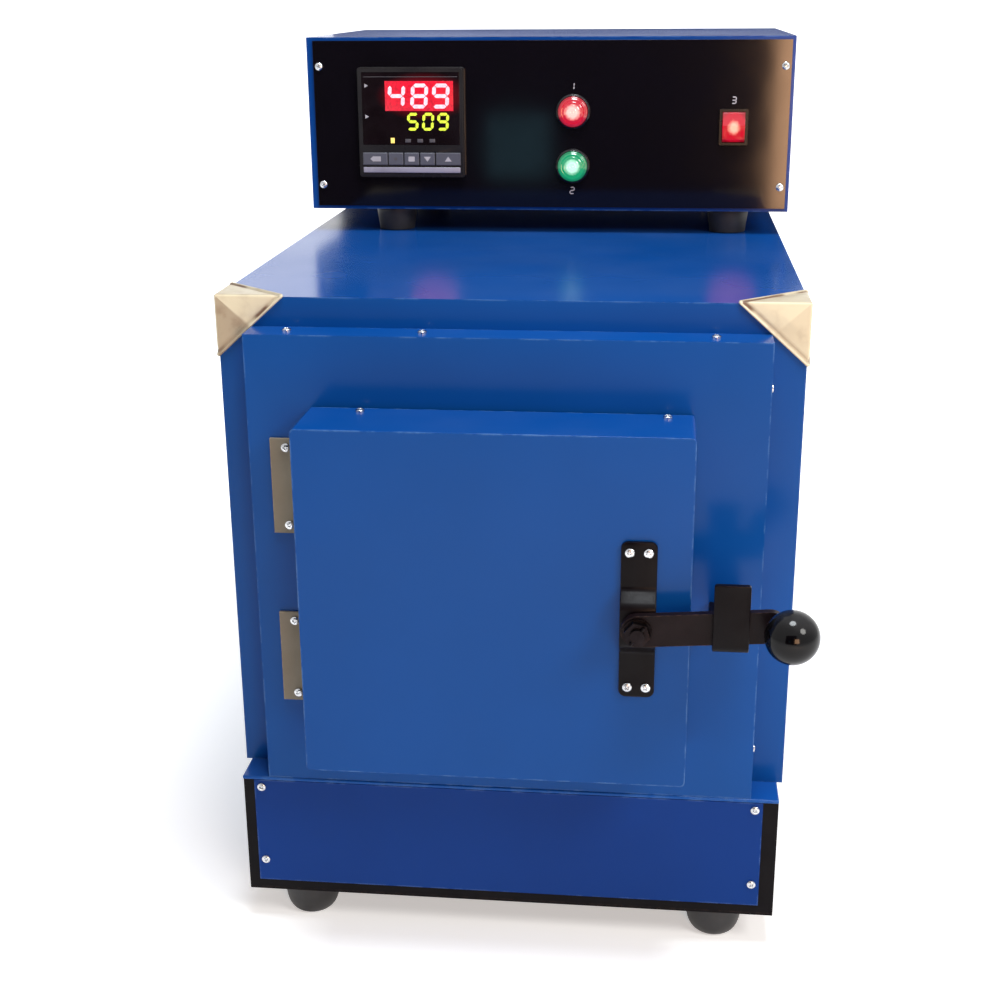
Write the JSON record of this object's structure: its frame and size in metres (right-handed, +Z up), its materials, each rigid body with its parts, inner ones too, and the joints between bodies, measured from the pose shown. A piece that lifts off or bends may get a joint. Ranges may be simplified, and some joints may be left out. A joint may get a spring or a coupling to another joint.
{
  "type": "muffle furnace",
  "caption": "Bench muffle furnace with a box-shaped cabinet, a side-hinged plug door with a lever latch, and a separate control box standing on its top.",
  "frame": {"origin": "on the floor, under the middle of the whole part's bounding box", "axes": "+Z up, front (door) towards -Y, +X to the right of someone who faces the door"},
  "size_m": [0.4362, 0.762, 0.683],
  "materials": {
    "cabinet_blue": "gloss",
    "plinth_blue": "gloss",
    "black_steel": "semi-gloss",
    "bright_screw": "polished",
    "black_rubber": "matt",
    "bare_steel": "satin",
    "cream_trim": "gloss",
    "firebrick": "matt, porous ceramic",
    "ceramic_wool": "matt fibre",
    "ceramic": "satin ceramic",
    "coil_alloy": "oxidised",
    "hinge_bronze": "semi-gloss",
    "panel_black": "gloss",
    "black_plastic": "satin",
    "grey_plastic": "satin",
    "window_plastic": "gloss",
    "lens_red": "clear gloss",
    "lens_green": "clear gloss",
    "rocker_red": "gloss",
    "knob_black": "polished",
    "rope": "braided fibre",
    "sink_aluminium": "satin"
  },
  "bodies": {
    "furnace": {"base_frame": "black_steel", "base_skirt": "plinth_blue", "base_bottom": "black_steel", "base_front_plate": "plinth_blue", "base_screws": "bright_screw", "furnace_feet": "black_rubber", "floor_pan": "cabinet_blue", "cabinet_wrap": "cabinet_blue", "rear_bulkhead": "bare_steel", "rear_cover": "cabinet_blue", "front_fascia": "cabinet_blue", "cabinet_screws": "bright_screw", "corner_guard_left": "cream_trim", "corner_guard_right": "cream_trim", "throat_brick": "firebrick", "hearth_slab": "firebrick", "muffle_roof": "firebrick", "muffle_side_left": "firebrick", "muffle_side_right": "firebrick", "muffle_back": "firebrick", "heating_coils_left": "coil_alloy", "heating_coils_right": "coil_alloy", "insulation_floor": "ceramic_wool", "insulation_roof": "ceramic_wool", "insulation_sides": "ceramic_wool", "insulation_rear": "ceramic_wool", "coil_beads": "ceramic", "thermocouple": "ceramic", "thermocouple_head": "sink_aluminium", "hinge_plates": "hinge_bronze", "hinge_pins": "bare_steel", "keeper": "black_steel", "control_case": "cabinet_blue", "control_panel": "panel_black", "panel_screws": "bright_screw", "control_feet": "black_rubber", "controller_body": "black_plastic", "controller_window": "window_plastic", "lamp_bezels": "black_plastic", "lens_red": "lens_red", "lens_green": "lens_green", "switch_frame": "black_plastic", "cable_grommets": "black_rubber", "power_relay": "sink_aluminium"},
    "door": {"door_shell": "cabinet_blue", "door_liner": "bare_steel", "door_plug": "firebrick", "door_seal": "rope", "door_screws": "bright_screw", "hinge_leaves": "hinge_bronze", "latch_strap": "black_steel", "pivot_bolt": "bare_steel"},
    "latch_lever": {"lever_bar": "black_steel", "ball_knob": "knob_black"},
    "key_a": {"key_1": "grey_plastic"},
    "key_b": {"key_2": "grey_plastic"},
    "key_c": {"key_3": "grey_plastic"},
    "key_d": {"key_4": "grey_plastic"},
    "key_e": {"key_5": "grey_plastic"},
    "rocker": {"switch_rocker": "rocker_red"}
  },
  "joints": [
    {"name": "door_swing", "type": "hinge", "parent": "furnace", "child": "door", "pos_m": [-0.148, -0.25895, 0.306], "axis": [0, 0, -1], "range_deg": [0, 100]},
    {"name": "latch_lift", "type": "hinge", "parent": "door", "child": "latch_lever", "pos_m": [0.0995, -0.33395, 0.305], "axis": [0, -1, 0], "range_deg": [0, 75]},
    {"name": "key_1_press", "type": "slide", "parent": "furnace", "child": "key_a", "axis": [0, 1, 0], "range_m": [0, 0.001], "stiffness_N_per_m": 200, "springref_m": -0.0005},
    {"name": "key_2_press", "type": "slide", "parent": "furnace", "child": "key_b", "axis": [0, 1, 0], "range_m": [0, 0.001], "stiffness_N_per_m": 200, "springref_m": -0.0005},
    {"name": "key_3_press", "type": "slide", "parent": "furnace", "child": "key_c", "axis": [0, 1, 0], "range_m": [0, 0.001], "stiffness_N_per_m": 200, "springref_m": -0.0005},
    {"name": "key_4_press", "type": "slide", "parent": "furnace", "child": "key_d", "axis": [0, 1, 0], "range_m": [0, 0.001], "stiffness_N_per_m": 200, "springref_m": -0.0005},
    {"name": "key_5_press", "type": "slide", "parent": "furnace", "child": "key_e", "axis": [0, 1, 0], "range_m": [0, 0.001], "stiffness_N_per_m": 200, "springref_m": -0.0005},
    {"name": "rocker_tip", "type": "hinge", "parent": "furnace", "child": "rocker", "pos_m": [0.169, 0.09105, 0.606], "axis": [1, 0, 0], "range_deg": [0, 24]}
  ]
}
